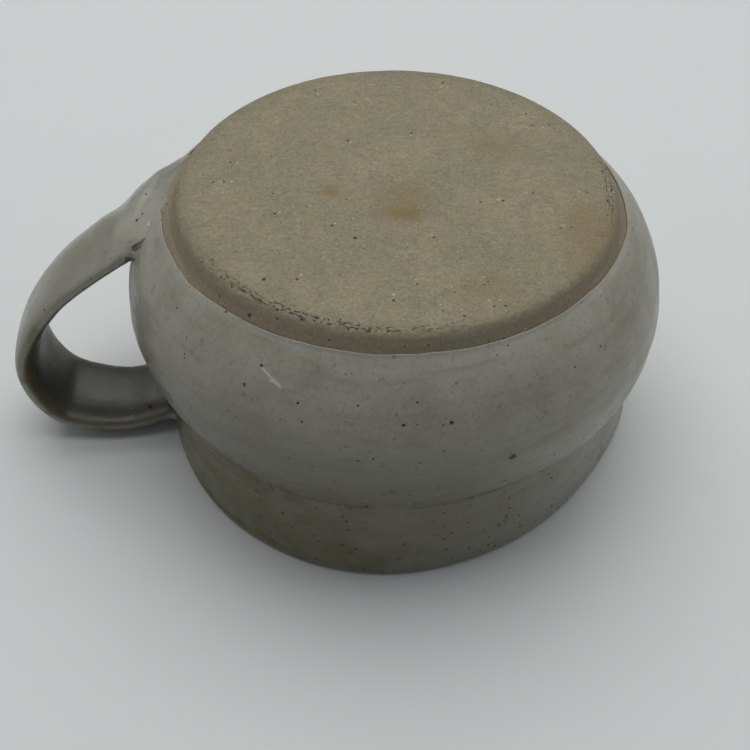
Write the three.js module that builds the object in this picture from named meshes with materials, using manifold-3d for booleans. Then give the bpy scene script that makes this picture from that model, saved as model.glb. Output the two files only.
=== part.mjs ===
// A wheel-thrown stoneware mug with a pulled strap handle, in millimetres.
//
// The mug stands upside down, on its lip. The origin is the middle of the flat foot, on top, and the
// handle points along +X. Every piece is shaped the right way up, with +Z from the foot to the mouth,
// and the mug is turned over last.
//
// The clay carries two coats of glaze, a liner inside and an outer coat that stops short of the foot and
// wraps over the lip. The handle is a separate strap of clay, stuck on at both ends with slip and then
// glazed.

import * as THREE from 'three';
import { mergeVertices } from 'three/addons/utils/BufferGeometryUtils.js';
import Module from 'manifold-3d';

const wasm = await Module();
wasm.setup();

// ---- Driving dimensions ----

const HEIGHT = 64;
const FOOT_RADIUS = 45;
const FOOT_EDGE_CHAMFER = 0.5;
const BELLY_RADIUS = 59;
const BELLY_HEIGHT = 25.5;
const BELLY_ARC_RADIUS = 25.8;
const COLLAR_BASE_RADIUS = 54.2;
const LIP_RADIUS = 54.5;
const LIP_EDGE = 1.6;
const GLAZE_LINE_HEIGHT = 4.5;
const CLAY_WALL = 4.6;
const LINER_OVERLAP_DEPTH = 6;

const GLAZE_THICKNESS = 0.5;
const GAP = 0.3;
const GLAZE_DEPTH = GLAZE_THICKNESS + GAP;

const STRAP_WIDTH = 21;
const STRAP_THICKNESS = 5.2;
const FOOT_JOINT = { length: 15, extraWidth: 9, extraThickness: 4.4 };
const COLLAR_JOINT = { length: 13, extraWidth: 5, extraThickness: 3.2 };

// Middle line of the handle from inside the wall near the foot round to inside the wall of the collar.
// It runs from one side to the other, because the strap was stuck on a little askew.
const STRAP_LINE = [
  [46.5, 4.2, 8],
  [57, 5.3, 14],
  [75.5, 0.6, 26],
  [84.6, -0.2, 43.2],
  [79.4, -1.4, 56.6],
  [65.5, -2.7, 59.8],
  [50, 0, 58],
];

// The collar is a little out of round. Each lobe pushes it out by size, count times round, from a
// heading in degrees.
const COLLAR_LOBES = [
  { count: 1, size: 1.1, heading: 168 },
  { count: 2, size: 1.2, heading: 144 },
  { count: 3, size: 0.9, heading: 162 },
];
const LOBES_START_HEIGHT = 34;
const LOBES_FULL_HEIGHT = 46;

const ROUND_SEGMENTS = 40;
const ARC_STEPS = 7;
const STRAP_STEPS = 30;
const STRAP_SIDES = 12;

// ---- Profiles: lists of [radius, height] ----

const ARC_CENTRE_RADIUS = BELLY_RADIUS - BELLY_ARC_RADIUS;

/** Height above the belly's widest point at which an arc about the belly's centre has this radius. */
function arcRise(arcRadius, radius) {
  return Math.sqrt(arcRadius ** 2 - (radius - ARC_CENTRE_RADIUS) ** 2);
}

/** Points of an arc about the belly's centre, between two heights given from that centre. */
function bellyArc(arcRadius, fromRise, toRise) {
  const from = Math.asin(fromRise / arcRadius);
  const to = Math.asin(toRise / arcRadius);
  return Array.from({ length: ARC_STEPS + 1 }, (_, i) => {
    const angle = from + ((to - from) * i) / ARC_STEPS;
    return [ARC_CENTRE_RADIUS + arcRadius * Math.cos(angle), BELLY_HEIGHT + arcRadius * Math.sin(angle)];
  });
}

/** Outside of the pot from the glaze line to the top of the collar's wall, set in by a depth. */
function outerWall(inset) {
  const arcRadius = BELLY_ARC_RADIUS - inset;
  const glazeLineRise = GLAZE_LINE_HEIGHT - BELLY_HEIGHT;
  const creaseRise = arcRise(arcRadius, COLLAR_BASE_RADIUS - inset);
  return [
    ...bellyArc(arcRadius, glazeLineRise, creaseRise),
    [COLLAR_BASE_RADIUS - inset, LOBES_FULL_HEIGHT],
    [LIP_RADIUS - inset, HEIGHT - LIP_EDGE],
  ];
}

/** Top of the lip, from its outer edge to its inner edge, set in by a depth. */
function lip(inset) {
  const outer = LIP_RADIUS - inset;
  const inner = LIP_RADIUS - CLAY_WALL - 2 * GLAZE_DEPTH + inset;
  const top = HEIGHT - inset;
  return [
    [outer - LIP_EDGE, top],
    [inner + LIP_EDGE, top],
    [inner, HEIGHT - LIP_EDGE],
  ];
}

/** Inside of the pot from the top of the collar's wall down to the axis, set back into the wall by a depth. */
function innerWall(setBack, topHeight) {
  const arcRadius = BELLY_ARC_RADIUS - CLAY_WALL - 2 * GLAZE_DEPTH + setBack;
  const collarRadius = COLLAR_BASE_RADIUS - CLAY_WALL - 2 * GLAZE_DEPTH + setBack;
  const arc = bellyArc(arcRadius, arcRise(arcRadius, collarRadius), -arcRadius);
  const floorHeight = arc[arc.length - 1][1];
  return [
    [collarRadius, topHeight],
    [collarRadius, LOBES_FULL_HEIGHT],
    ...arc,
    [0, floorHeight],
  ];
}

// ---- Geometry helpers ----

/** Radial offset of the collar at a heading and a height. */
function collarOffset(heading, height) {
  const fade = THREE.MathUtils.smoothstep(height, LOBES_START_HEIGHT, LOBES_FULL_HEIGHT);
  const lobes = COLLAR_LOBES.map((lobe) => {
    const turn = lobe.count * (heading - THREE.MathUtils.degToRad(lobe.heading));
    return lobe.size * Math.cos(turn);
  });
  return fade * lobes.reduce((sum, value) => sum + value, 0);
}

/** A closed profile of [radius, height] points turned about +Z, with the collar's lobes. */
function thrown(profile) {
  const points = profile.map(([radius, height]) => new THREE.Vector2(radius, height));
  const geometry = new THREE.LatheGeometry(points, ROUND_SEGMENTS);
  geometry.rotateX(Math.PI / 2);
  const position = geometry.attributes.position;
  for (let i = 0; i < position.count; i += 1) {
    const x = position.getX(i);
    const y = position.getY(i);
    const radius = Math.hypot(x, y);
    if (radius > GAP) {
      const scale = 1 + collarOffset(Math.atan2(y, x), position.getZ(i)) / radius;
      position.setXY(i, x * scale, y * scale);
    }
  }
  return geometry;
}

const strapLine = new THREE.CatmullRomCurve3(
  STRAP_LINE.map((point) => new THREE.Vector3(...point)),
  false,
  'centripetal',
);
const strapLength = strapLine.getLength();

/** Half the width and half the thickness of the handle at a distance along its middle line. */
function strapHalfSize(distance, flared) {
  const size = { width: STRAP_WIDTH / 2, thickness: STRAP_THICKNESS / 2 };
  if (flared) {
    const ends = [[FOOT_JOINT, distance], [COLLAR_JOINT, strapLength - distance]];
    for (const [joint, away] of ends) {
      const share = 1 - THREE.MathUtils.smoothstep(away, joint.length * 0.35, joint.length);
      size.width += (share * joint.extraWidth) / 2;
      size.thickness += (share * joint.extraThickness) / 2;
    }
  }
  return size;
}

/** The strap between two distances along its middle line, grown all round, with both ends closed. */
function strap(from, to, grow, flared) {
  const steps = Math.max(4, Math.round((STRAP_STEPS * (to - from)) / strapLength));
  const positions = [];
  const indices = [];
  for (let step = 0; step <= steps; step += 1) {
    const distance = from + ((to - from) * step) / steps;
    const middle = strapLine.getPointAt(distance / strapLength);
    const along = strapLine.getTangentAt(distance / strapLength);
    const outward = new THREE.Vector3(along.z, 0, -along.x).normalize();
    const half = strapHalfSize(distance, flared);
    for (let side = 0; side < STRAP_SIDES; side += 1) {
      const angle = (2 * Math.PI * (side + 0.5)) / STRAP_SIDES;
      const across = (half.width + grow) * Math.sign(Math.cos(angle)) * Math.sqrt(Math.abs(Math.cos(angle)));
      const out = (half.thickness + grow) * Math.sign(Math.sin(angle)) * Math.sqrt(Math.abs(Math.sin(angle)));
      positions.push(middle.x + out * outward.x, middle.y + across, middle.z + out * outward.z);
      if (step < steps) {
        const here = step * STRAP_SIDES + side;
        const next = step * STRAP_SIDES + ((side + 1) % STRAP_SIDES);
        indices.push(here, here + STRAP_SIDES, next, next, here + STRAP_SIDES, next + STRAP_SIDES);
      }
    }
  }
  const last = steps * STRAP_SIDES;
  for (let side = 1; side < STRAP_SIDES - 1; side += 1) {
    indices.push(0, side, side + 1, last, last + side + 1, last + side);
  }
  const geometry = new THREE.BufferGeometry();
  geometry.setAttribute('position', new THREE.Float32BufferAttribute(positions, 3));
  geometry.setIndex(indices);
  return geometry;
}

/** A closed geometry as a solid that can be cut and joined. */
function toSolid(geometry) {
  const bare = geometry.clone();
  bare.deleteAttribute('normal');
  bare.deleteAttribute('uv');
  const merged = mergeVertices(bare, 1e-4);
  const index = merged.index.array;
  const triangles = [];
  for (let i = 0; i < index.length; i += 3) {
    const [a, b, c] = [index[i], index[i + 1], index[i + 2]];
    if (a !== b && b !== c && c !== a) {
      triangles.push(a, b, c);
    }
  }
  return new wasm.Manifold(new wasm.Mesh({
    numProp: 3,
    vertProperties: new Float32Array(merged.attributes.position.array),
    triVerts: new Uint32Array(triangles),
  }));
}

/** A solid as a geometry. */
function toGeometry(solid) {
  const mesh = solid.getMesh();
  const geometry = new THREE.BufferGeometry();
  geometry.setAttribute('position', new THREE.BufferAttribute(mesh.vertProperties, mesh.numProp));
  geometry.setIndex(new THREE.BufferAttribute(mesh.triVerts, 1));
  geometry.computeVertexNormals();
  return geometry;
}

// ---- Materials ----

const bareClay = new THREE.MeshStandardMaterial({ color: 0x81775f, roughness: 0.95, metalness: 0 });
const greyGlaze = new THREE.MeshStandardMaterial({ color: 0x77776d, roughness: 0.4, metalness: 0 });
const linerGlaze = new THREE.MeshStandardMaterial({ color: 0x85857a, roughness: 0.35, metalness: 0 });

// ---- The pot ----

/** The thrown clay: a flat foot, a bare bevelled band, a round belly, a collar and a hollow inside. */
function makeThrownBody() {
  return thrown([
    [0, 0],
    [FOOT_RADIUS - FOOT_EDGE_CHAMFER, 0],
    [FOOT_RADIUS, FOOT_EDGE_CHAMFER],
    [outerWall(GLAZE_THICKNESS)[0][0], GLAZE_LINE_HEIGHT - GAP],
    ...outerWall(GLAZE_DEPTH),
    ...lip(GLAZE_DEPTH),
    ...innerWall(GLAZE_DEPTH, HEIGHT - 2 * LIP_EDGE),
  ]);
}

/** The outer coat: from the glaze line up the belly and the collar, over the lip, and a little way inside. */
function makeOuterGlaze(jointHoles) {
  const lowEdge = HEIGHT - LINER_OVERLAP_DEPTH;
  const inner = COLLAR_BASE_RADIUS - CLAY_WALL - 2 * GLAZE_DEPTH;
  const coat = thrown([
    ...outerWall(0),
    ...lip(0),
    [inner, lowEdge],
    [inner + GLAZE_THICKNESS, lowEdge],
    ...lip(GLAZE_THICKNESS).reverse(),
    ...outerWall(GLAZE_THICKNESS).reverse(),
    outerWall(0)[0],
  ]);
  return toGeometry(toSolid(coat).subtract(jointHoles));
}

/** The liner: the coat poured round the inside before the outside was dipped. */
function makeLinerGlaze() {
  const top = HEIGHT - LINER_OVERLAP_DEPTH - GAP;
  return thrown([
    ...innerWall(GLAZE_THICKNESS, top).reverse(),
    ...innerWall(0, top),
  ]);
}

// ---- The handle ----

const coreInset = -GLAZE_DEPTH;
const pot = toSolid(thrown([
  [0, 0],
  ...outerWall(GLAZE_THICKNESS),
  lip(GLAZE_THICKNESS)[0],
  [0, HEIGHT - GLAZE_THICKNESS],
]));
const strapClearance = toSolid(strap(0, strapLength, coreInset + GAP, false));

/** The pulled strap of clay, cut to the pot's wall at both ends. */
function makeStrap() {
  const core = toSolid(strap(0, strapLength, coreInset, false));
  return toGeometry(core.subtract(pot));
}

/** The slip that luted one end of the strap on, smoothed out over the wall. */
function makeJoint(from, to) {
  const slip = toSolid(strap(from, to, 0, true));
  return toGeometry(slip.subtract(pot).subtract(strapClearance));
}

/** The coat on the handle between its two joints. */
function makeStrapGlaze() {
  const from = FOOT_JOINT.length + GAP;
  const to = strapLength - COLLAR_JOINT.length - GAP;
  return toGeometry(toSolid(strap(from, to, 0, false)).subtract(strapClearance));
}

const collarJointStart = strapLength - COLLAR_JOINT.length;
const jointHoles = toSolid(strap(0, FOOT_JOINT.length, GAP, true))
  .add(toSolid(strap(collarJointStart, strapLength, GAP, true)));

// ---- The mug, turned over onto its lip ----

const mug = new THREE.Group();
mug.rotation.x = Math.PI;

function addPiece(name, geometry, material) {
  const mesh = new THREE.Mesh(geometry, material);
  mesh.name = name;
  mug.add(mesh);
}

addPiece('thrown_body', makeThrownBody(), bareClay);
addPiece('liner_glaze', makeLinerGlaze(), linerGlaze);
addPiece('outer_glaze', makeOuterGlaze(jointHoles), greyGlaze);
addPiece('handle_strap', makeStrap(), bareClay);
addPiece('foot_joint_slip', makeJoint(0, FOOT_JOINT.length), greyGlaze);
addPiece('collar_joint_slip', makeJoint(collarJointStart, strapLength), greyGlaze);
addPiece('handle_glaze', makeStrapGlaze(), greyGlaze);

export default mug;
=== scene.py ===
"""Looks for a hand-thrown stoneware mug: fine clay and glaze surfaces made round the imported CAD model.

In the row frame the mug stands upside down, on its lip, with the origin in the middle of the bare foot
on top. Shapes and materials are worked out the right way up, in millimetres, with +Z from the foot to the
mouth. They are turned over, and become metres, when their mesh is made.
"""

import math

import bpy
import numpy as np
from mathutils import Matrix, Vector, noise


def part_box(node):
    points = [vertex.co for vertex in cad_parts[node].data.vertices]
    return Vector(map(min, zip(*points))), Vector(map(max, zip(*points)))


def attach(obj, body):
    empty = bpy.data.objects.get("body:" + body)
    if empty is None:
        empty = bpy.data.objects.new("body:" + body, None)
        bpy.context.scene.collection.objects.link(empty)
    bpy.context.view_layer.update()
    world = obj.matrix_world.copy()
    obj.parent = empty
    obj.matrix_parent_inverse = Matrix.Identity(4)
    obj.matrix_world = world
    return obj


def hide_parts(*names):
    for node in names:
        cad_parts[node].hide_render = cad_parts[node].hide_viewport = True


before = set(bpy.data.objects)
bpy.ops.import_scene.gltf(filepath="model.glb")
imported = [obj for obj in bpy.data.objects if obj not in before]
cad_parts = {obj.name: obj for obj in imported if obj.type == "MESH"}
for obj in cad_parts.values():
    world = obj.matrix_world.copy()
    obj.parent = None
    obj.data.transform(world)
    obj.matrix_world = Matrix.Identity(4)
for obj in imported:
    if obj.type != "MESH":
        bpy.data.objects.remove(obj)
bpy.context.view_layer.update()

MM = 0.001

# From millimetres with the mug the right way up to the row frame: half a turn about X.
TURN_OVER = np.array([MM, -MM, -MM])

# ---- The pot's driving dimensions, in millimetres ----

coat_low, coat_high = (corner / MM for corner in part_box("outer_glaze"))
HEIGHT = -coat_low.z
GLAZE_LINE_HEIGHT = -coat_high.z
BELLY_RADIUS = coat_high.y
FOOT_RADIUS = 45
BELLY_HEIGHT = 25.5
BELLY_ARC_RADIUS = 25.8
COLLAR_RADIUS = 54.2
LIP_RADIUS = 54.5
LIP_ROUND = 2.2
WALL = 6.2
LIP_INNER_RADIUS = LIP_RADIUS - WALL
LINER_TOP = HEIGHT - 6.3
ARC_CENTRE_RADIUS = BELLY_RADIUS - BELLY_ARC_RADIUS
CREASE_HEIGHT = 41.1

# Profiles stop this far short of the axis, and a pole closes the rest.
AXIS_GAP = 0.5

# A coat of glaze is this thick. The clay under it lies a hair deeper, so that the two never cross.
COAT_THICKNESS = 0.45
UNDER_GLAZE = 0.47

# The collar is a little out of round: how many lobes, their size, and the heading in degrees that they
# point to.
COLLAR_LOBES = ((1, 1.1, 168), (2, 1.2, 144), (3, 0.9, 162))
LOBES_START_HEIGHT = 34
LOBES_FULL_HEIGHT = 46

ROUND_STEPS = 360
HEADINGS = np.linspace(0, 2 * math.pi, ROUND_STEPS, endpoint=False)

# The pot was dipped at a tilt: the glaze line's usual rise, and how much more it rises per millimetre
# along x and y.
DIP_RISE = 1.35
DIP_SLOPE = (0.005, 0.036)

# Swells: how much of something there is at a heading in degrees, and over what spread it fades out.
# The collar bulges on the side away from the handle. The coat was wiped back further beside the handle.
BULGE = (1.8, 180, 34)
BULGE_START_HEIGHT = 28
WIPED = (1.8, 14, 18)

# The groove in the crease and the tears in the foot's edge: a little all round, and more in the swells.
GROOVE_WIDTH = 0.6
GROOVE_DEPTH = 0.1
GROOVE_SWELLS = ((0.6, -130, 40), (0.5, -170, 40))
TEAR = 0.15
TEAR_SWELLS = ((1, -60, 75), (0.5, -170, 40))

# How far the foot's edge was pressed out all round, how much more on one side, and that side's heading.
FOOT_PRESSED = 0.8
FOOT_PRESSED_MORE = 0.15
FOOT_PRESSED_HEADING = -115

# Finger rings: their pitch up the wall, and how far they stand out.
BROAD_RINGS = (6.3, 0.07)
FINE_RINGS = (2.1, 0.025)

# ---- The handle's driving dimensions, in millimetres ----

# Middle line from inside the wall near the foot round to inside the collar's wall. It is a little askew.
STRAP_LINE = (
    (46.5, 4.2, 8),
    (57, 5.3, 14),
    (75.5, 0.6, 26),
    (84.6, -0.2, 43.2),
    (79.4, -1.4, 56.6),
    (65.5, -2.7, 59.8),
    (50, 0, 58),
)
STRAP_SIDES = 96

# Points along the strap: how far apart they are near the foot, halfway round and near the collar, and how
# much of its length counts as near the foot and near the collar.
STATION_STEPS = (0.3, 0.8, 0.4)
FOOT_ROOT_LENGTH = 18
COLLAR_ROOT_LENGTH = 14

# How the strap's section changes, at the foot, halfway round and at the collar.
HALF_WIDTHS = (10.6, 10.8, 9.7)
TWISTS = (-0.02, -0.07, 0)
EDGE_HALF_THICKNESS = 2.0
CROWN = 1.1
CROWN_OFFSETS = (0.5, 0.35, 0.2)
HOLLOW = 0.6

# Where the strap meets the wall: the reach of its fillet at the foot, how much shorter that is on the near
# side, its reach at the collar, and the hump on the far side of the foot end.
FOOT_FILLET = 2.2
FOOT_FILLET_CUT = 1.2
COLLAR_FILLET = 2.6
FOOT_HUMP = 10
FOOT_HUMP_REACH = 6

# Folds of slip across the foot end's outside: how far from the wall, how wide and how high each one is.
FOOT_FOLDS = ((3.6, 0.9, 0.35), (8.5, 1.3, 0.3))

# The seam left open where the strap's near edge was pressed on beside the foot.
OPEN_SEAM = ((52.9, -4.9, 9.3), (56.1, -4.8, 12.2))


# ---- Numbers and noise ----


def smoothstep(value, low, high):
    share = np.clip((value - low) / (high - low), 0, 1)
    return share * share * (3 - 2 * share)


def hump(value, centre, width):
    """1 at a centre, falling smoothly to 0 over about twice this width each way."""
    return np.exp(-(((value - centre) / width) ** 2))


def swelled(heading, base, swells):
    """The base amount, and more round the swells' headings."""
    amount = base
    for size, degrees, spread in swells:
        away = np.degrees(np.arccos(np.cos(heading - math.radians(degrees))))
        amount = amount + size * (1 - smoothstep(away, 0, spread))
    return amount


def noise_at(points, size, seed):
    """Smooth noise from -1 to 1, with lumps of about this size in millimetres."""
    shift = Vector((17.3 * seed, 9.1 * seed, 4.7 * seed))
    flat = points.reshape(-1, 3) / size
    values = [noise.noise(Vector(point) + shift) for point in flat]
    return np.array(values).reshape(points.shape[:-1])


# ---- Meshes ----


def build_mesh(name, vertices, faces):
    """An object in the row frame, from vertices in millimetres with the mug the right way up."""
    mesh = bpy.data.meshes.new(name)
    mesh.from_pydata((vertices * TURN_OVER).tolist(), [], faces)
    mesh.update()
    mesh.shade_smooth()
    piece = bpy.data.objects.new(name, mesh)
    bpy.context.scene.collection.objects.link(piece)
    return piece


def skin(name, rows, poles=False, closed=False):
    """A mesh from rows of points, each row closed on itself.

    Poles close the first and the last row onto their middles. Closed joins the last row to the first.
    """
    row_count, side_count = rows.shape[:2]
    vertices = rows.reshape(-1, 3)
    faces = []
    for row in range(row_count if closed else row_count - 1):
        here = row * side_count
        there = (row + 1) % row_count * side_count
        for side in range(side_count):
            following = (side + 1) % side_count
            faces.append((here + side, here + following, there + following, there + side))
    if poles:
        start, end = len(vertices), len(vertices) + 1
        last = (row_count - 1) * side_count
        vertices = np.vstack([vertices, rows[0].mean(axis=0), rows[-1].mean(axis=0)])
        for side in range(side_count):
            following = (side + 1) % side_count
            faces.append((following, side, start))
            faces.append((last + side, last + following, end))
    return build_mesh(name, vertices, faces)


# ---- Profiles: arrays of [radius, height] ----


def line(points, step):
    """The polyline through points, with a point every step or a little less."""
    points = np.array(points, float)
    rows = [points[0]]
    for start, end in zip(points[:-1], points[1:]):
        count = max(1, math.ceil(math.dist(start, end) / step))
        rows.extend(start + (end - start) * (i + 1) / count for i in range(count))
    return np.array(rows)


def arc(centre, radius, start, end, step):
    """Points of an arc between two angles in degrees."""
    count = max(2, math.ceil(abs(math.radians(end - start)) * radius / step))
    angles = np.radians(np.linspace(start, end, count + 1))
    return np.stack([centre[0] + radius * np.cos(angles), centre[1] + radius * np.sin(angles)], axis=1)


def belly_angle(arc_radius, radius):
    """Angle in degrees at which an arc about the belly's centre has this radius from the axis."""
    return math.degrees(math.acos((radius - ARC_CENTRE_RADIUS) / arc_radius))


LINE_ANGLE = -math.degrees(math.asin((BELLY_HEIGHT - GLAZE_LINE_HEIGHT) / BELLY_ARC_RADIUS))


def outer_profile(inset):
    """Outside of the pot from the glaze line up to where the lip's round starts."""
    arc_radius = BELLY_ARC_RADIUS - inset
    top_angle = belly_angle(arc_radius, COLLAR_RADIUS - inset)
    belly = arc((ARC_CENTRE_RADIUS, BELLY_HEIGHT), arc_radius, LINE_ANGLE, top_angle, 0.5)
    crease_end = belly[-1] + [0, 2.5]
    crease = line([belly[-1], crease_end], 0.2)
    collar = line([crease_end, [LIP_RADIUS - inset, HEIGHT - LIP_ROUND]], 0.5)
    return np.vstack([belly, crease[1:], collar[1:]])


def lip_profile(inset):
    """Rounded top of the lip, from its outer to its inner wall."""
    outer = (LIP_RADIUS - LIP_ROUND, HEIGHT - LIP_ROUND)
    inner = (LIP_INNER_RADIUS + LIP_ROUND, HEIGHT - LIP_ROUND)
    reach = LIP_ROUND - inset
    return np.vstack([arc(outer, reach, 0, 90, 0.3)[1:], arc(inner, reach, 90, 180, 0.3)])


def inner_profile(set_back, top):
    """Inside of the pot from a height in the collar down to the middle of the floor."""
    arc_radius = BELLY_ARC_RADIUS - WALL + set_back
    collar = COLLAR_RADIUS - WALL + set_back
    belly = arc((ARC_CENTRE_RADIUS, BELLY_HEIGHT), arc_radius, belly_angle(arc_radius, collar), -90, 0.7)
    floor = line([belly[-1], [AXIS_GAP, belly[-1][1]]], 1.5)
    wall = line([[collar, top], belly[0]], 0.7)
    return np.vstack([wall, belly[1:], floor[1:]])


def outer_radius(height):
    """Radius of the outside at a height: the bevelled band, then the belly, then the collar."""
    rise = np.clip(height - BELLY_HEIGHT, -BELLY_ARC_RADIUS, BELLY_ARC_RADIUS)
    belly = ARC_CENTRE_RADIUS + np.sqrt(BELLY_ARC_RADIUS**2 - rise**2)
    line_radius = ARC_CENTRE_RADIUS + BELLY_ARC_RADIUS * math.cos(math.radians(LINE_ANGLE))
    band = FOOT_RADIUS + (line_radius - FOOT_RADIUS) * height / GLAZE_LINE_HEIGHT
    wall = np.where(height > BELLY_HEIGHT, np.maximum(belly, COLLAR_RADIUS), belly)
    return np.where(height < GLAZE_LINE_HEIGHT, band, wall)


# ---- Handmade unevenness of the pot ----


def collar_offset(heading, height):
    """The CAD model's lobes, and a small bulge on the side away from the handle."""
    lobes = sum(size * np.cos(count * (heading - math.radians(at))) for count, size, at in COLLAR_LOBES)
    bulge = swelled(heading, 0, [BULGE]) * smoothstep(height, BULGE_START_HEIGHT, CREASE_HEIGHT)
    return smoothstep(height, LOBES_START_HEIGHT, LOBES_FULL_HEIGHT) * lobes + bulge


def ring_points(radius, height, heading):
    return np.stack([radius * np.cos(heading), radius * np.sin(heading), height], axis=-1)


def turned(profile, uneven=None):
    """Rows of points: a profile turned about +Z, with the collar's lobes and any further unevenness."""
    heading = HEADINGS[None, :]
    radius = profile[:, 0][:, None] + 0 * heading
    height = profile[:, 1][:, None] + 0 * heading
    radius = radius + collar_offset(heading, height) * smoothstep(radius, 0, 10)
    if uneven:
        radius, height = uneven(radius, height, heading)
    return ring_points(radius, height, heading)


def outside(radius):
    """1 at the radii of the wall's outside, fading to 0 at those of its inside."""
    return smoothstep(radius, LIP_INNER_RADIUS + 1, LIP_RADIUS - 1)


def wall_offset(radius, height, heading):
    """Finger rings that climb the wall in a spiral, soft dents, and a groove in the crease."""
    turn = heading / (2 * math.pi)
    pitch, size = BROAD_RINGS
    broad = size * np.sin(2 * math.pi * (height / pitch - turn))
    pitch, size = FINE_RINGS
    fine = size * np.sin(2 * math.pi * (height / pitch - turn) + 1.3 * np.sin(3 * heading))
    dents = 0.25 * noise_at(ring_points(radius, height, heading), 24, 1)
    groove = swelled(heading, GROOVE_DEPTH, GROOVE_SWELLS) * hump(height, CREASE_HEIGHT, GROOVE_WIDTH)
    return smoothstep(height, 5, 12) * (broad + fine + dents) - groove


def glaze_line(heading):
    """How far the coat's lower edge is above the CAD model's level one: it is tilted and wavers."""
    ring = ring_points(FOOT_RADIUS + 3, 0 * heading, heading)
    tilt = DIP_RISE + ring[..., 0] * DIP_SLOPE[0] + ring[..., 1] * DIP_SLOPE[1]
    wiped = swelled(heading, 0, [WIPED])
    return tilt + wiped + 0.3 * noise_at(ring, 14, 5) + 0.12 * noise_at(ring, 3.5, 6)


def uneven_coat(radius, height, heading):
    """The coat follows the wall. Its lower edge is the glaze line."""
    share = 1 - smoothstep(height, GLAZE_LINE_HEIGHT, GLAZE_LINE_HEIGHT + 12)
    raised = height + share * glaze_line(heading)
    radius = radius + outer_radius(raised) - outer_radius(height)
    return radius + outside(radius) * wall_offset(radius, raised, heading), raised


def uneven_clay(radius, height, heading):
    """The clay keeps under the coat, and the edge of its foot is torn in places."""
    points = ring_points(radius, height, heading)
    under_coat = outside(radius) * smoothstep(height, 5, 12)
    radius = radius + under_coat * wall_offset(radius, height, heading)
    torn = swelled(heading, TEAR, TEAR_SWELLS)
    edge = hump(radius, FOOT_RADIUS - 0.6, 1) * (1 - smoothstep(height, 1.5, 3))
    bite = edge * torn * np.clip(noise_at(points, 1.5, 2) + 0.5 * noise_at(points, 4, 3), 0, 1)
    swell = np.abs(0.12 * noise_at(points, 11, 4)) * (1 - smoothstep(height, 0, 0.5))
    near_edge = smoothstep(radius, 36, 44.5) * (1 - smoothstep(height, 0.5, 4.2))
    lean = np.cos(heading - math.radians(FOOT_PRESSED_HEADING))
    radius = radius + near_edge * (FOOT_PRESSED + FOOT_PRESSED_MORE * lean)
    return radius - 0.4 * bite, height + 0.5 * bite + swell


# ---- The pot ----


def make_clay_pot():
    foot = line([[AXIS_GAP, 0], [FOOT_RADIUS - 2.2, 0]], 0.9)
    edge = line([
        foot[-1],
        [FOOT_RADIUS - 1.1, 0.04],
        [FOOT_RADIUS - 0.4, 0.25],
        [FOOT_RADIUS + 0.05, 0.6],
        [FOOT_RADIUS + 0.45, 1.1],
    ], 0.3)
    wall = outer_profile(UNDER_GLAZE)
    band = line([edge[-1], wall[0]], 0.4)
    inside = inner_profile(UNDER_GLAZE, HEIGHT - LIP_ROUND)
    profile = np.vstack([foot, edge[1:], band[1:], wall[1:], lip_profile(UNDER_GLAZE), inside[1:]])
    return skin("clay_pot", turned(profile, uneven_clay), poles=True)


def make_outer_coat():
    """From a round bead at the glaze line up over the lip and down inside it, then back behind."""
    face = outer_profile(0)
    bead = arc(face[0] + [-0.2, 0.05], 0.22, -200, -30, 0.08)
    tuck = line([[LIP_INNER_RADIUS, HEIGHT - LIP_ROUND], [LIP_INNER_RADIUS, LINER_TOP]], 0.5)
    tuck_back = tuck[::-1] + [COAT_THICKNESS, 0]
    lip_back = lip_profile(COAT_THICKNESS)[::-1]
    back = outer_profile(COAT_THICKNESS)[:0:-1]
    profile = np.vstack([bead, face[1:], lip_profile(0), tuck[1:], tuck_back[:-1], lip_back, back])
    return skin("outer_glaze_coat", turned(profile, uneven_coat), closed=True)


def make_liner_coat():
    behind = inner_profile(COAT_THICKNESS, LINER_TOP)[::-1]
    inside = inner_profile(0, LINER_TOP + 0.3)
    return skin("liner_glaze_coat", turned(np.vstack([behind, inside])), poles=True)


# ---- The handle ----


def centripetal_curve(points, per_span):
    """Points of the centripetal Catmull-Rom curve through points."""
    points = np.array(points, float)
    padded = np.vstack([2 * points[0] - points[1], points, 2 * points[-1] - points[-2]])
    found = []
    for p0, p1, p2, p3 in zip(padded, padded[1:], padded[2:], padded[3:]):
        gaps = [math.sqrt(math.dist(near, far)) for near, far in ((p0, p1), (p1, p2), (p2, p3))]
        t0, t1, t2, t3 = np.cumsum([0, *gaps])
        for t in np.linspace(t1, t2, per_span, endpoint=False):
            a = (p0 * (t1 - t) + p1 * (t - t0)) / (t1 - t0)
            b = (p1 * (t2 - t) + p2 * (t - t1)) / (t2 - t1)
            c = (p2 * (t3 - t) + p3 * (t - t2)) / (t3 - t2)
            ab = (a * (t2 - t) + b * (t - t0)) / (t2 - t0)
            bc = (b * (t3 - t) + c * (t - t1)) / (t3 - t1)
            found.append((ab * (t2 - t) + bc * (t - t1)) / (t2 - t1))
    found.append(points[-1])
    return np.array(found)


def strap_stations():
    """Distances along the handle, closer together near both roots, and the points there.

    The distances are also given as shares of the handle's length.
    """
    curve = centripetal_curve(STRAP_LINE, per_span=80)
    travelled = np.concatenate([[0], np.cumsum(np.linalg.norm(np.diff(curve, axis=0), axis=1))])
    length = travelled[-1]
    starts = (1.5, FOOT_ROOT_LENGTH, length - COLLAR_ROOT_LENGTH)
    ends = (FOOT_ROOT_LENGTH, length - COLLAR_ROOT_LENGTH, length - 1)
    stations = np.concatenate([np.arange(*stretch) for stretch in zip(starts, ends, STATION_STEPS)])
    places = np.stack([np.interp(stations, travelled, curve[:, axis]) for axis in range(3)], axis=1)
    return stations, stations / length, places


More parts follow.
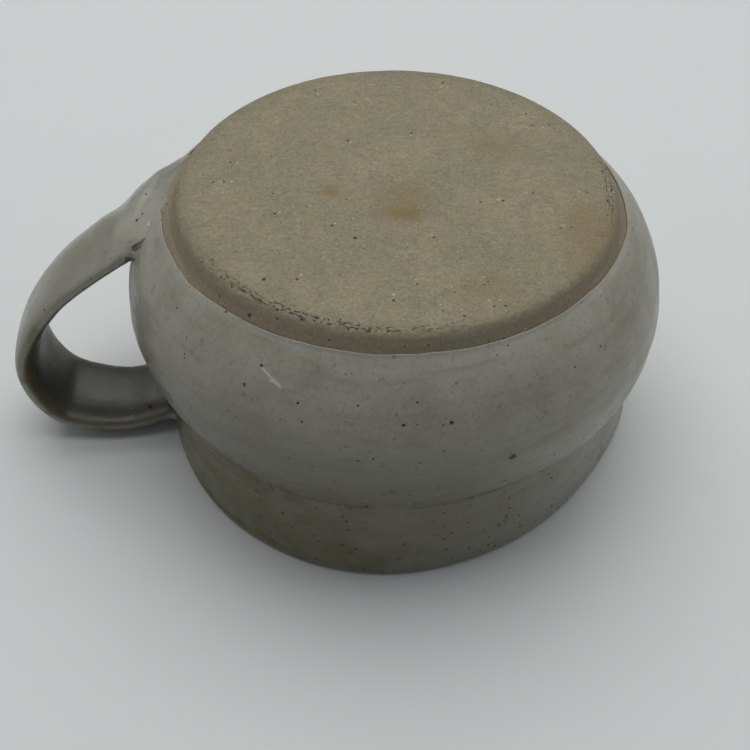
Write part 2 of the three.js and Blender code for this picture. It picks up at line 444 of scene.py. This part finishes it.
def along_strap(share, values):
    """Values given at the foot, halfway round and at the collar, smoothly between."""
    start, middle, end = values
    first_half = start + (middle - start) * smoothstep(share, 0, 0.5)
    second_half = middle + (end - middle) * smoothstep(share, 0.5, 1)
    return np.where(share < 0.5, first_half, second_half)


def strap_section(share):
    """A row of points per station: offsets across and out of the strap, and how much painted shade it gets
    there.

    The strap is a rounded oblong with a crowned outside and a hollow inside. Its inner face gets the most
    painted shade.
    """
    share = share[:, None]
    angle = np.linspace(0, 2 * math.pi, STRAP_SIDES, endpoint=False)[None, :]
    side = np.sign(np.cos(angle)) * np.abs(np.cos(angle)) ** 0.6
    rim = np.sign(np.sin(angle)) * np.abs(np.sin(angle)) ** 0.75
    crown_at = along_strap(share, CROWN_OFFSETS)
    edge_gap = np.where(side > crown_at, 1 - crown_at, 1 + crown_at)
    fall = np.abs(side - crown_at) / edge_gap
    crown = CROWN * (1 - fall**1.7) * np.sqrt(np.abs(rim))
    hollow = HOLLOW * (1 - side**2) * np.abs(rim)
    out = EDGE_HALF_THICKNESS * rim + np.where(rim > 0, crown, -hollow)
    across = along_strap(share, HALF_WIDTHS) * side
    twist = along_strap(share, TWISTS)
    # Painted shade: all of the inner face, and a little on the near half of the outside.
    near_edge = smoothstep(crown_at - side, -0.1, 0.3) * smoothstep(rim, -0.2, 0.4)
    shade_amount = smoothstep(-rim, 0, 0.7) + 0.3 * near_edge
    twisted_across = across * np.cos(twist) - out * np.sin(twist)
    twisted_out = across * np.sin(twist) + out * np.cos(twist)
    return twisted_across, twisted_out, shade_amount


def wall_distance(points):
    """Distance of each point outside the pot's wall, and the wall's outward direction there."""
    heading = np.arctan2(points[..., 1], points[..., 0])
    height = points[..., 2]
    radius = np.hypot(points[..., 0], points[..., 1]) - collar_offset(heading, height)
    slope = outer_radius(height + 0.5) - outer_radius(height - 0.5)
    size = np.sqrt(1 + slope**2)
    distance = (radius - outer_radius(height)) / size
    outward = np.stack([np.cos(heading) / size, np.sin(heading) / size, -slope / size], axis=-1)
    return distance, outward


def unit(vectors):
    return vectors / np.maximum(np.linalg.norm(vectors, axis=-1, keepdims=True), 1e-6)


def near_stroke(points, start, end, reach):
    """1 on the straight line between two points, fading to 0 at a reach from it."""
    along = np.subtract(end, start)
    share = np.clip((points - start) @ along / (along @ along), 0, 1)
    away = np.linalg.norm(points - start - share[..., None] * along, axis=-1)
    return 1 - smoothstep(away, 0, reach)


def flared(points, at_foot):
    """Runs each end of the strap out over the pot's wall.

    At the foot end it also swells into a hump on the far side.
    """
    distance, wall_normal = wall_distance(points)
    away = points - points.mean(axis=1, keepdims=True)
    away = unit(away - (away * wall_normal).sum(axis=-1, keepdims=True) * wall_normal)
    far = smoothstep(away[..., 1], 0.1, 0.9)
    near = smoothstep(-away[..., 1], 0.1, 0.9)
    reach = np.where(at_foot, FOOT_FILLET - FOOT_FILLET_CUT * near, COLLAR_FILLET)
    share = np.clip(1 - distance / reach, 0, 1)
    fillet = reach * (1 - np.sqrt(1 - share**2))
    swelling = at_foot * far * FOOT_HUMP * smoothstep(distance, FOOT_HUMP_REACH, 0)
    moved = points + away * (fillet + swelling)[..., None]

    # The slip stays above the glaze line, and keeps its distance from the wall.
    heading = np.arctan2(moved[..., 1], moved[..., 0])
    moved[..., 2] = np.maximum(moved[..., 2], GLAZE_LINE_HEIGHT + glaze_line(heading) + 0.25 * share)
    settle = (distance - wall_distance(moved)[0] - 0.06) * smoothstep(share, 0, 0.5)
    return moved + wall_distance(moved)[1] * settle[..., None]


def make_handle():
    stations, share, places = strap_stations()
    at_foot = (share < 0.5)[:, None]
    tangent = unit(np.gradient(places, stations, axis=0))
    across = unit(np.array([0, 1, 0]) - tangent[:, 1:2] * tangent)
    outward = np.cross(across, tangent)
    sideways, out, shade_amount = strap_section(share)
    points = places[:, None] + sideways[..., None] * across[:, None] + out[..., None] * outward[:, None]
    points = flared(points, at_foot)

    distance, _ = wall_distance(points)
    push = unit(points - points.mean(axis=1, keepdims=True))
    lumps = 0.22 * noise_at(points, 13, 8) + 0.07 * noise_at(points, 4, 9)
    from_wall = distance + 1.2 * noise_at(points, 6, 10)
    folds = sum(rise * hump(from_wall, centre, width) for centre, width, rise in FOOT_FOLDS)
    folds = folds * at_foot * smoothstep(out, 0.5, 2)
    points = points + push * ((lumps + folds) * smoothstep(distance, 0, 3))[..., None]
    points = points - push * near_stroke(points, *OPEN_SEAM, 1.0)[..., None]

    # The sides run backwards, so that the faces look outwards. The last two points are the poles.
    coat = skin("handle_coat", points[:, ::-1], poles=True)
    # The painted shade at each point, which the handle's material reads.
    painted_shade = coat.data.attributes.new("painted_shade", "FLOAT", "POINT")
    painted_shade.data.foreach_set("value", np.append(shade_amount[:, ::-1].ravel(), [0, 0]))
    return coat


# ---- Marks that stand out, in millimetres ----

# Soft stains: centre, reach and how strong each is.
FOOT_STAINS = (
    ((13.6, -2.5, 0), 3.6, 0.6),
    ((-1.8, -10.1, 0), 5.0, 0.75),
    ((-0.1, -6.0, 0), 11.0, 0.35),
    ((-22, 11.6, 0), 8.0, 0.35),
    ((-14.9, -34.7, 0), 8.0, 0.35),
    ((-39.7, -16.3, 0), 11.0, 0.45),
    ((-35.6, -25.7, 0), 8.0, 0.35),
)
RUST_STAINS = (
    ((40, -36, 52), 24.0, 0.5),
    ((33, -43.4, 51), 10.0, 0.4),
    ((24.5, -48.6, 56), 8.0, 0.4),
    ((16, -51.8, 52), 9.0, 0.6),
    ((9, -53.6, 59), 7.0, 0.75),
    ((2, -54, 56), 5.0, 0.4),
    ((16, -55.8, 33), 6.0, 0.35),
    ((36, -42, 38), 9.0, 0.5),
)

# The strap's worn near edge, as strokes: start, end, reach and how strong each is.
WORN_EDGE = (
    ((79.5, -11, 30), (83.8, -10.5, 44), 2.8, 0.6),
    ((83.8, -10.5, 44), (80, -11, 54), 2.8, 0.65),
    ((80, -11, 54), (70, -12.5, 61), 3.0, 0.5),
    ((70, -12.5, 61), (57, -10, 59), 4.5, 0.5),
)

# Crisp spots: centre and reach.
CLAY_HOLES = (
    ((9.3, -18, 0), 0.4),
    ((27.3, -29.8, 0), 0.45),
    ((30.2, -36.2, 3.4), 0.5),
)
COAT_SPOTS = (
    ((-19.4, -55.7, 24.5), 0.85),
    ((-7.0, -55.6, 14), 0.5),
    ((31.4, -45.5, 12.6), 0.5),
    ((1.9, -56.1, 13.8), 0.4),
    ((7.5, -58, 25), 0.6),
)
HANDLE_SPOTS = (
    ((54.2, 10.8, 8.1), 0.55),
    ((55.9, 2.6, 10), 0.5),
    ((58.4, -8.6, 57.3), 0.7),
)


# ---- Materials ----


class Recipe:
    """The node tree of one material. Positions are in millimetres, with the mug the right way up."""

    def __init__(self, name):
        self.material = bpy.data.materials.new(name)
        self.material.use_nodes = True
        self.tree = self.material.node_tree
        self.shader = self.tree.nodes["Principled BSDF"]
        coordinates = self.add("ShaderNodeTexCoord")
        self.place = self.vector("DIVIDE", coordinates.outputs["Object"], tuple(TURN_OVER))
        self.waves = self.wobble(4, 81)
        self.ripples = self.wobble(0.45, 82)
        self.colour = None

    def add(self, kind, **settings):
        node = self.tree.nodes.new(kind)
        for name, value in settings.items():
            setattr(node, name, value)
        return node

    def put(self, socket, value):
        if isinstance(value, bpy.types.NodeSocket):
            self.tree.links.new(value, socket)
        else:
            socket.default_value = value

    def math(self, operation, first, second=0.0, third=0.0):
        node = self.add("ShaderNodeMath", operation=operation)
        for socket, value in zip(node.inputs, (first, second, third)):
            self.put(socket, value)
        return node.outputs[0]

    def vector(self, operation, first, second=(0, 0, 0), third=(0, 0, 0), scale=1.0):
        node = self.add("ShaderNodeVectorMath", operation=operation)
        self.put(node.inputs[0], first)
        if operation == "SCALE":
            self.put(node.inputs["Scale"], scale)
        elif operation != "LENGTH":
            self.put(node.inputs[1], second)
        if operation == "MULTIPLY_ADD":
            self.put(node.inputs[2], third)
        return node.outputs["Value" if operation in ("LENGTH", "DISTANCE", "DOT_PRODUCT") else "Vector"]

    def chain(self, operation, values):
        """The values, put together one after another."""
        result = values[0]
        for value in values[1:]:
            result = self.math(operation, result, value)
        return result

    def total(self, *values):
        return self.chain("ADD", values)

    def product(self, *values):
        return self.chain("MULTIPLY", values)

    def most(self, *values):
        return self.chain("MAXIMUM", values)

    def axes(self, vector=None):
        node = self.add("ShaderNodeSeparateXYZ")
        self.put(node.inputs[0], vector or self.place)
        return node.outputs

    def stretched(self, amounts):
        """The position, scaled along each axis, so that noise comes out as streaks."""
        return self.vector("MULTIPLY", self.place, amounts)

    def fade(self, value, low, high, start=0.0, end=1.0):
        """Smoothly from start to end as value goes from low to high."""
        node = self.add("ShaderNodeMapRange", interpolation_type="SMOOTHSTEP")
        if low > high:
            low, high, start, end = high, low, end, start
        for name, number in (("From Min", low), ("From Max", high), ("To Min", start), ("To Max", end)):
            node.inputs[name].default_value = number
        self.put(node.inputs["Value"], value)
        return node.outputs["Result"]

    def close_to(self, value, target, reach, core):
        """1 where the value is within core of the target, fading to 0 at reach from it."""
        away = self.math("ABSOLUTE", self.math("SUBTRACT", value, target))
        return self.fade(away, reach, core)

    def noise(self, size, seed, detail=3.0, roughness=0.55, vector=None, output="Fac"):
        """Noise from 0 to 1 with lumps of about this size."""
        node = self.add("ShaderNodeTexNoise", noise_dimensions="4D")
        self.put(node.inputs["Vector"], vector or self.place)
        node.inputs["W"].default_value = seed
        node.inputs["Scale"].default_value = 1 / size
        node.inputs["Detail"].default_value = detail
        node.inputs["Roughness"].default_value = roughness
        return node.outputs[output]

    def wobble(self, size, seed):
        """Noise with a value from -1 to 1 on each axis."""
        colour = self.noise(size, seed, detail=2, roughness=0.5, output="Color")
        return self.vector("MULTIPLY_ADD", colour, (2, 2, 2), (-1, -1, -1))

    def shaken(self, wobble, amount):
        """The position, moved about by a wobble, so that spots don't come out round."""
        return self.vector("ADD", self.place, self.vector("SCALE", wobble, scale=amount))

    def specks(self, spacing, smallest, largest, share, seed, soft=0.2, ragged=0.5):
        """1 on spots scattered in a share of the cells, with a radius between smallest and largest."""
        shift = (31.7 * seed, 12.9 * seed, 7.3 * seed)
        place = self.vector("ADD", self.shaken(self.ripples, largest * ragged), shift)
        cells = self.add("ShaderNodeTexVoronoi", feature="F1")
        self.put(cells.inputs["Vector"], place)
        cells.inputs["Scale"].default_value = 1 / spacing
        chance, size, _ = self.axes(cells.outputs["Color"])
        growth = (largest - smallest) / spacing
        radius = self.math("MULTIPLY_ADD", self.product(size, size), growth, smallest / spacing)
        depth = self.math("DIVIDE", cells.outputs["Distance"], radius)
        return self.product(self.fade(depth, 1 + soft, 1 - soft), self.math("LESS_THAN", chance, share))

    def blob(self, centre, reach, wobble=0.6):
        """1 near a point, fading to 0 at about this reach, with an uneven outline."""
        away = self.vector("DISTANCE", self.shaken(self.waves, reach * wobble), centre)
        return self.fade(away, reach, reach * 0.15)

    def spot(self, centre, reach):
        """1 near a point, with a crisp and ragged edge at about this reach."""
        away = self.vector("DISTANCE", self.shaken(self.ripples, reach * 0.8), centre)
        return self.fade(away, reach, reach * 0.7)

    def with_spots(self, mask, spots):
        """The mask, and 1 on these spots as well."""
        return self.most(mask, *(self.spot(centre, reach) for centre, reach in spots))

    def stroke(self, start, end, reach):
        """1 on the straight line between two points, fading to 0 at about this reach from it."""
        along = Vector(end) - Vector(start)
        wobble = self.waves if reach > 1 else self.ripples
        offset = self.vector("SUBTRACT", self.shaken(wobble, reach * 0.5), start)
        share = self.vector("DOT_PRODUCT", offset, tuple(along / along.length_squared))
        share = self.math("MINIMUM", self.most(share, 0.0), 1.0)
        away = self.vector("DISTANCE", offset, self.vector("SCALE", tuple(along), scale=share))
        return self.fade(away, reach, reach * 0.3)

    def mix(self, factor, first, second):
        node = self.add("ShaderNodeMix", data_type="RGBA")
        self.put(node.inputs[0], factor)
        for socket, value in ((node.inputs[6], first), (node.inputs[7], second)):
            self.put(socket, (*value, 1) if isinstance(value, tuple) else value)
        return node.outputs[2]

    def tint(self, amount, colour):
        """Turns the surface to a colour where the amount is 1, and leaves it as it is where it is 0."""
        self.colour = self.mix(amount, self.colour, colour)

    def finish(self, roughness, height, specular=0.5):
        """Height is in millimetres."""
        bump = self.add("ShaderNodeBump")
        bump.inputs["Strength"].default_value = 1
        bump.inputs["Distance"].default_value = MM
        self.put(bump.inputs["Height"], height)
        self.put(self.shader.inputs["Base Color"], self.colour)
        self.put(self.shader.inputs["Roughness"], roughness)
        self.put(self.shader.inputs["Normal"], bump.outputs["Normal"])
        self.shader.inputs["Specular IOR Level"].default_value = specular
        return self.material


def torn_edge(paint, radius):
    """Broken cracks round the foot's edge, which get painted shade, and the crumbs between them, both only
    where it is frayed.
    """
    frayed = paint.most(paint.blob((18, -40, 0), 36, 0.1), paint.blob((-45, -4, 0), 13, 0.1))
    shaded_cracks = []
    for offset, lump, seed in ((1.1, 2.4, 8), (1.9, 1.5, 9)):
        wander = paint.product(paint.noise(lump, seed, detail=6, roughness=0.75), 3.4)
        shaded_crack = paint.close_to(paint.total(radius, wander), FOOT_RADIUS + offset, 0.17, 0.04)
        broken = paint.fade(paint.noise(0.9, seed + 2), 0.47, 0.56)
        shaded_cracks.append(paint.product(shaded_crack, broken, frayed))
    crumbs = paint.fade(paint.noise(0.7, 13, detail=4), 0.55, 0.62)
    at_edge = paint.close_to(radius, FOOT_RADIUS - 0.6, 1.3, 0.4)
    return paint.most(*shaded_cracks), paint.product(crumbs, at_edge, frayed)


def bare_clay():
    paint = Recipe("bare_clay")
    z = paint.axes()[2]
    radius = paint.vector("LENGTH", paint.stretched((1, 1, 0)))
    on_foot = paint.fade(z, 1.1, 0.3)
    on_band = paint.fade(z, 0.2, 1.6)

    broad = paint.fade(paint.noise(17, 1), 0.35, 0.65)
    paint.colour = paint.mix(broad, (0.305, 0.272, 0.190), (0.350, 0.305, 0.215))
    paint.tint(paint.fade(paint.noise(4, 2), 0.4, 0.7, 0, 0.5), (0.250, 0.228, 0.168))
    streaks = paint.noise(1.5, 3, vector=paint.stretched((0.5, 1.5, 1)))
    paint.tint(paint.fade(streaks, 0.45, 0.75, 0, 0.5), (0.22, 0.19, 0.13))
    grain = paint.noise(0.6, 4, roughness=0.7)
    paint.tint(paint.fade(grain, 0.5, 0.3, 0, 0.6), (0.17, 0.145, 0.10))
    paint.tint(paint.fade(grain, 0.52, 0.72, 0, 0.6), (0.46, 0.42, 0.33))

    turning = paint.noise(0.9, 7, vector=paint.stretched((0.06, 0.06, 1)))
    band = paint.mix(paint.fade(turning, 0.3, 0.7), (0.310, 0.262, 0.180), (0.365, 0.312, 0.218))
    band = paint.mix(paint.fade(grain, 0.5, 0.3, 0, 0.4), band, (0.13, 0.105, 0.07))
    paint.tint(paint.product(on_band, 0.85), band)
    # Painted shade: the foot darkens over its last 4 mm toward the rounded edge.
    paint.tint(paint.fade(radius, FOOT_RADIUS - 4, FOOT_RADIUS, 0, 0.2), (0.18, 0.155, 0.105))
    for centre, reach, amount in FOOT_STAINS:
        paint.tint(paint.product(paint.blob(centre, reach), amount, on_foot), (0.255, 0.180, 0.078))

    sand = paint.specks(0.75, 0.05, 0.16, 0.8, 21)
    paint.tint(paint.product(sand, 0.5), (0.58, 0.55, 0.46))
    grog = paint.specks(2.2, 0.08, 0.26, 0.8, 22)
    paint.tint(paint.product(grog, 0.75), (0.64, 0.62, 0.54))
    dust = paint.specks(0.9, 0.05, 0.16, 0.8, 24)
    paint.tint(paint.product(dust, 0.5), (0.10, 0.08, 0.055))
    shaded_pits = paint.with_spots(paint.specks(2.3, 0.07, 0.28, 0.8, 23), CLAY_HOLES)
    shaded_cracks, crumbs = torn_edge(paint, radius)
    paint.tint(paint.product(crumbs, 0.6), (0.52, 0.48, 0.37))
    # Painted shade: the pits and the torn edge's cracks are painted near black.
    shaded_holes = paint.most(shaded_pits, shaded_cracks)
    paint.tint(paint.product(shaded_holes, 0.85), (0.050, 0.036, 0.025))

    height = paint.total(
        paint.product(grain, 0.2),
        paint.product(paint.noise(2.5, 6), 0.2),
        paint.product(grog, 0.05),
        paint.product(sand, 0.03),
        paint.product(shaded_holes, -0.25),
        paint.product(crumbs, 0.2),
        paint.product(turning, 0.12, on_band),
    )
    return paint.finish(paint.fade(on_band, 0, 1, 0.94, 0.85), height, specular=0.25)


def speckle(paint):
    """The stoneware's iron, showing through the glaze. Returns where its dark spots are."""
    blots = paint.specks(2.8, 0.25, 0.6, 0.5, 41, soft=0.4, ragged=1.3)
    paint.tint(paint.product(blots, 0.38), (0.145, 0.142, 0.120))
    pale = paint.specks(1.7, 0.06, 0.18, 0.6, 44)
    paint.tint(paint.product(pale, 0.55), (0.55, 0.54, 0.48))
    tan = paint.specks(1.8, 0.12, 0.4, 0.6, 45, ragged=0.8)
    paint.tint(paint.product(tan, 0.55), (0.17, 0.135, 0.080))
    fine = paint.specks(1.05, 0.05, 0.16, 0.7, 42)
    paint.tint(paint.product(fine, 0.7), (0.080, 0.068, 0.048))
    return paint.specks(2.2, 0.1, 0.33, 0.5, 43, soft=0.15, ragged=1)


def satin(paint, iron, mottle, dents):
    """The glaze's finish. Dents are in millimetres."""
    paint.tint(paint.product(iron, 0.95), (0.020, 0.015, 0.010))
    height = paint.total(
        paint.product(paint.noise(5, 51), 0.16),
        paint.product(mottle, 0.04),
        paint.product(iron, -0.05),
        dents,
    )
    return paint.finish(paint.fade(paint.noise(6, 53), 0.3, 0.7, 0.26, 0.42), height)


def shade_clouds_and_stains(paint, x, y, z):
    """Painted shade on the belly's shoulder and on the collar, and brown clouds and stains on the collar.
    """
    on_collar = paint.fade(z, 40, 42)
    # Painted shade: darker up the belly toward the crease and toward the handle's side, and on the collar,
    # most toward the handle's side.
    shoulder_shade = paint.product(paint.fade(z, 10, 33, 0, 0.92), paint.fade(x, -40, -5, 0.05, 1))
    shoulder_shade = paint.product(shoulder_shade, paint.fade(z, 42, 40))
    collar = paint.product(on_collar, paint.fade(x, -45, 0, 0.2, 0.7))
    paint.tint(paint.most(shoulder_shade, collar), (0.150, 0.138, 0.102))
    clouds = paint.fade(paint.noise(6, 35, detail=4, roughness=0.65), 0.42, 0.62, 0.4, 1)
    toward_handle = paint.fade(x, -10, 40, 0.1, 1)
    near_side = paint.fade(y, 20, -15, 0.3, 1)
    paint.tint(paint.product(clouds, toward_handle, near_side, on_collar), (0.125, 0.101, 0.028))
    for centre, reach, amount in RUST_STAINS:
        paint.tint(paint.product(paint.blob(centre, reach, wobble=0.9), amount), (0.120, 0.095, 0.045))


def crease_shade_and_highlight(paint, x, z):
    """Painted shade in the crease and in a crack above it, and a painted highlight on a brow below it.
    Returns the dents they make.
    """
    # Painted shade: a dark line along the crease, and a crack above it painted dark.
    wavering = paint.total(z, paint.product(paint.noise(9, 46), 0.8))
    crease = paint.close_to(wavering, CREASE_HEIGHT + 0.4, 0.6, 0.1)
    crease = paint.product(crease, paint.fade(paint.noise(11, 47), 0.4, 0.65, 0.2, 0.55))
    shaded_crack = paint.stroke((-28.5, -45.5, 43.4), (-34.5, -41, 44.6), 0.45)
    paint.tint(paint.most(crease, paint.product(shaded_crack, 0.8)), (0.070, 0.058, 0.038))
    # Painted highlight: a pale line on the belly just below the crease, on the side away from the handle.
    brow_highlight = paint.close_to(z, CREASE_HEIGHT - 0.9, 0.5, 0.1)
    paint.tint(paint.product(brow_highlight, paint.fade(x, -8, -30, 0, 0.45)), (0.50, 0.49, 0.44))
    return paint.total(paint.product(crease, -0.15), paint.product(shaded_crack, -0.3))


def outer_glaze():
    paint = Recipe("outer_glaze")
    x, y, z = paint.axes()
    broad = paint.fade(paint.noise(24, 31), 0.38, 0.62)
    paint.colour = paint.mix(broad, (0.368, 0.352, 0.296), (0.290, 0.273, 0.217))
    paint.tint(paint.fade(paint.noise(8, 32), 0.46, 0.7, 0, 0.5), (0.385, 0.380, 0.330))
    combing = paint.noise(1.6, 33, detail=4, vector=paint.stretched((0.12, 0.12, 1)))
    paint.tint(paint.fade(combing, 0.5, 0.75, 0, 0.5), (0.225, 0.212, 0.165))
    mottle = paint.noise(0.8, 34, detail=4, roughness=0.7)
    paint.tint(paint.fade(mottle, 0.5, 0.72, 0, 0.5), (0.205, 0.192, 0.150))
    paint.tint(paint.fade(mottle, 0.5, 0.28, 0, 0.35), (0.43, 0.425, 0.38))

    shade_clouds_and_stains(paint, x, y, z)
    crease_depth = crease_shade_and_highlight(paint, x, z)
    above_dip = paint.math("SUBTRACT", z, paint.vector("DOT_PRODUCT", paint.place, (*DIP_SLOPE, 0)))
    edge = GLAZE_LINE_HEIGHT + DIP_RISE
    paint.tint(paint.fade(above_dip, edge + 0.9, edge + 0.3, 0, 0.3), (0.43, 0.42, 0.37))
    scratch = paint.most(
        paint.stroke((27.8, -44.9, 9), (24.5, -48.2, 10.7), 0.4),
        paint.stroke((26.3, -46.8, 10.2), (24.7, -48.1, 10.8), 0.4),
    )
    paint.tint(scratch, (0.58, 0.58, 0.53))

    iron = speckle(paint)
    crowd = paint.product(paint.specks(1.7, 0.18, 0.55, 0.6, 48, ragged=1), paint.fade(z, 26, 33))
    iron = paint.with_spots(paint.most(iron, paint.product(crowd, 0.8)), COAT_SPOTS)
    dents = paint.total(paint.product(combing, 0.08), crease_depth)
    return satin(paint, iron, mottle, dents)


def handle_glaze():
    paint = Recipe("handle_glaze")
    broad = paint.fade(paint.noise(14, 91), 0.38, 0.62)
    paint.colour = paint.mix(broad, (0.378, 0.364, 0.313), (0.328, 0.312, 0.255))
    mottle = paint.noise(1.1, 92, detail=4, roughness=0.6)
    paint.tint(paint.fade(mottle, 0.5, 0.75, 0, 0.35), (0.240, 0.228, 0.180))
    # Painted shade: darkens the strap's inner face, and a little of the near half of its outside.
    painted_shade = paint.add("ShaderNodeAttribute", attribute_name="painted_shade").outputs["Fac"]
    paint.tint(paint.product(painted_shade, 0.92), (0.058, 0.059, 0.046))
    pale_root = paint.product(paint.blob((54, 4, 8), 16), 0.5)
    paint.tint(pale_root, (0.50, 0.495, 0.435))
    for start, end, reach, amount in WORN_EDGE:
        paint.tint(paint.product(paint.stroke(start, end, reach), amount), (0.135, 0.105, 0.055))

    iron = speckle(paint)
    chip = paint.spot((52.8, -0.6, 8.6), 0.6)
    paint.tint(paint.product(chip, 0.8), (0.62, 0.62, 0.56))
    iron = paint.with_spots(iron, HANDLE_SPOTS)
    # Painted shade: the open seam and a pinhole are painted near black.
    shaded_pinhole = paint.product(paint.spot((57.5, -5.2, 14.6), 1.1), 0.8)
    shaded_seam = paint.most(paint.stroke(*OPEN_SEAM, 0.8), shaded_pinhole)
    paint.tint(paint.product(shaded_seam, 0.85), (0.045, 0.040, 0.030))
    return satin(paint, iron, mottle, paint.product(shaded_seam, -0.3))


def liner_glaze():
    paint = Recipe("liner_glaze")
    broad = paint.fade(paint.noise(18, 61), 0.35, 0.65)
    paint.colour = paint.mix(broad, (0.44, 0.445, 0.41), (0.40, 0.39, 0.34))
    iron = paint.specks(3.2, 0.08, 0.32, 0.6, 62)
    paint.tint(paint.product(iron, 0.8), (0.04, 0.03, 0.022))
    fine = paint.specks(1.5, 0.05, 0.18, 0.7, 63)
    paint.tint(paint.product(fine, 0.5), (0.16, 0.14, 0.11))
    height = paint.total(paint.product(paint.noise(6, 64), 0.12), paint.product(iron, -0.04))
    return paint.finish(paint.fade(paint.noise(8, 65), 0.3, 0.7, 0.26, 0.36), height)


def table_top():
    paint = Recipe("pale_table")
    paint.colour = paint.mix(paint.noise(90, 71), (0.78, 0.81, 0.815), (0.80, 0.83, 0.835))
    return paint.finish(0.6, paint.product(paint.noise(2, 72), 0.02), specular=0.3)


# ---- Studio ----

# The studio's own axes: x to the right of the main camera, y away from it, and z up from the table.
STUDIO_HEADING = 175.5

# Where the main camera stands, in metres from the mug's axis and above the table, how it is turned, in
# degrees, and its lens in millimetres.
CAMERA_BACK = 0.1985
CAMERA_HEIGHT = 0.2086
CAMERA_DOWN = 45.57
CAMERA_TURN = 1.18
CAMERA_ROLL = 0.54
CAMERA_LENS = 55.2

# How far the table reaches from the mug, in metres.
TABLE_REACH = 3

AIR_COLOUR = (0.90, 0.97, 1.0, 1)
AIR_STRENGTH = 0.15
LIGHT_COLOUR = (1.0, 0.99, 0.97)

# Each light's name, its place, how wide it is in metres, and its power in watts.
LIGHTS = (
    ("overhead", (-0.05, 0.32, 1.03), 1.3, 9.3),
    ("left", (-1.0, 0.15, 0.58), 0.7, 0.5),
    ("right", (1.0, 0.3, 0.63), 0.7, 1.15),
)


def in_studio(place):
    """The row frame's matrix for something at this place on the studio's axes."""
    lip = Matrix.Translation((0, 0, -HEIGHT * MM))
    turn = Matrix.Rotation(math.radians(STUDIO_HEADING), 4, "Z")
    return lip @ turn @ Matrix.Translation(place)


def make_camera():
    camera = bpy.data.objects.new("camera", bpy.data.cameras.new("camera"))
    camera.data.lens = CAMERA_LENS
    camera.data.clip_start = 0.01
    bpy.context.scene.collection.objects.link(camera)
    turn = Matrix.Rotation(math.radians(CAMERA_TURN), 4, "Z")
    tilt = Matrix.Rotation(math.radians(90 - CAMERA_DOWN), 4, "X")
    roll = Matrix.Rotation(math.radians(CAMERA_ROLL), 4, "Z")
    camera.matrix_world = in_studio((0, -CAMERA_BACK, CAMERA_HEIGHT)) @ turn @ tilt @ roll
    bpy.context.scene.camera = camera


def make_table():
    corners = np.array([(-1, -1, 0), (1, -1, 0), (1, 1, 0), (-1, 1, 0)]) * TABLE_REACH / MM
    table = build_mesh("table", corners, [(3, 2, 1, 0)])
    table.data.materials.append(table_top())
    table.matrix_world = in_studio((0, 0, 0))


def make_lights():
    for name, place, size, power in LIGHTS:
        light = bpy.data.objects.new(name, bpy.data.lights.new(name, "AREA"))
        light.data.energy = power
        light.data.size = size
        light.data.color = LIGHT_COLOUR
        aim = Vector((0, 0, HEIGHT * MM / 2)) - Vector(place)
        light.matrix_world = in_studio(place) @ aim.to_track_quat("-Z", "Y").to_matrix().to_4x4()
        bpy.context.scene.collection.objects.link(light)


def make_world():
    world = bpy.data.worlds.new("studio_air")
    world.use_nodes = True
    background = world.node_tree.nodes["Background"]
    background.inputs["Color"].default_value = AIR_COLOUR
    background.inputs["Strength"].default_value = AIR_STRENGTH
    bpy.context.scene.world = world


# ---- The mug ----


def show(piece, material, slot, *nodes):
    """Finishes a piece that stands for these CAD nodes: gives it its material, hangs it on the root body
    and hides the nodes. The slot is not used.
    """
    piece.data.materials.append(material)
    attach(piece, "root")
    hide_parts(*nodes)


bpy.context.scene.view_settings.view_transform = "Standard"
make_camera()
make_table()
make_lights()
make_world()

show(make_clay_pot(), bare_clay(), "bare_clay", "thrown_body")
show(make_outer_coat(), outer_glaze(), "outer_glaze", "outer_glaze")
show(make_liner_coat(), liner_glaze(), "liner_glaze", "liner_glaze")
show(make_handle(), handle_glaze(), "outer_glaze",
     "handle_strap", "handle_glaze", "foot_joint_slip", "collar_joint_slip")
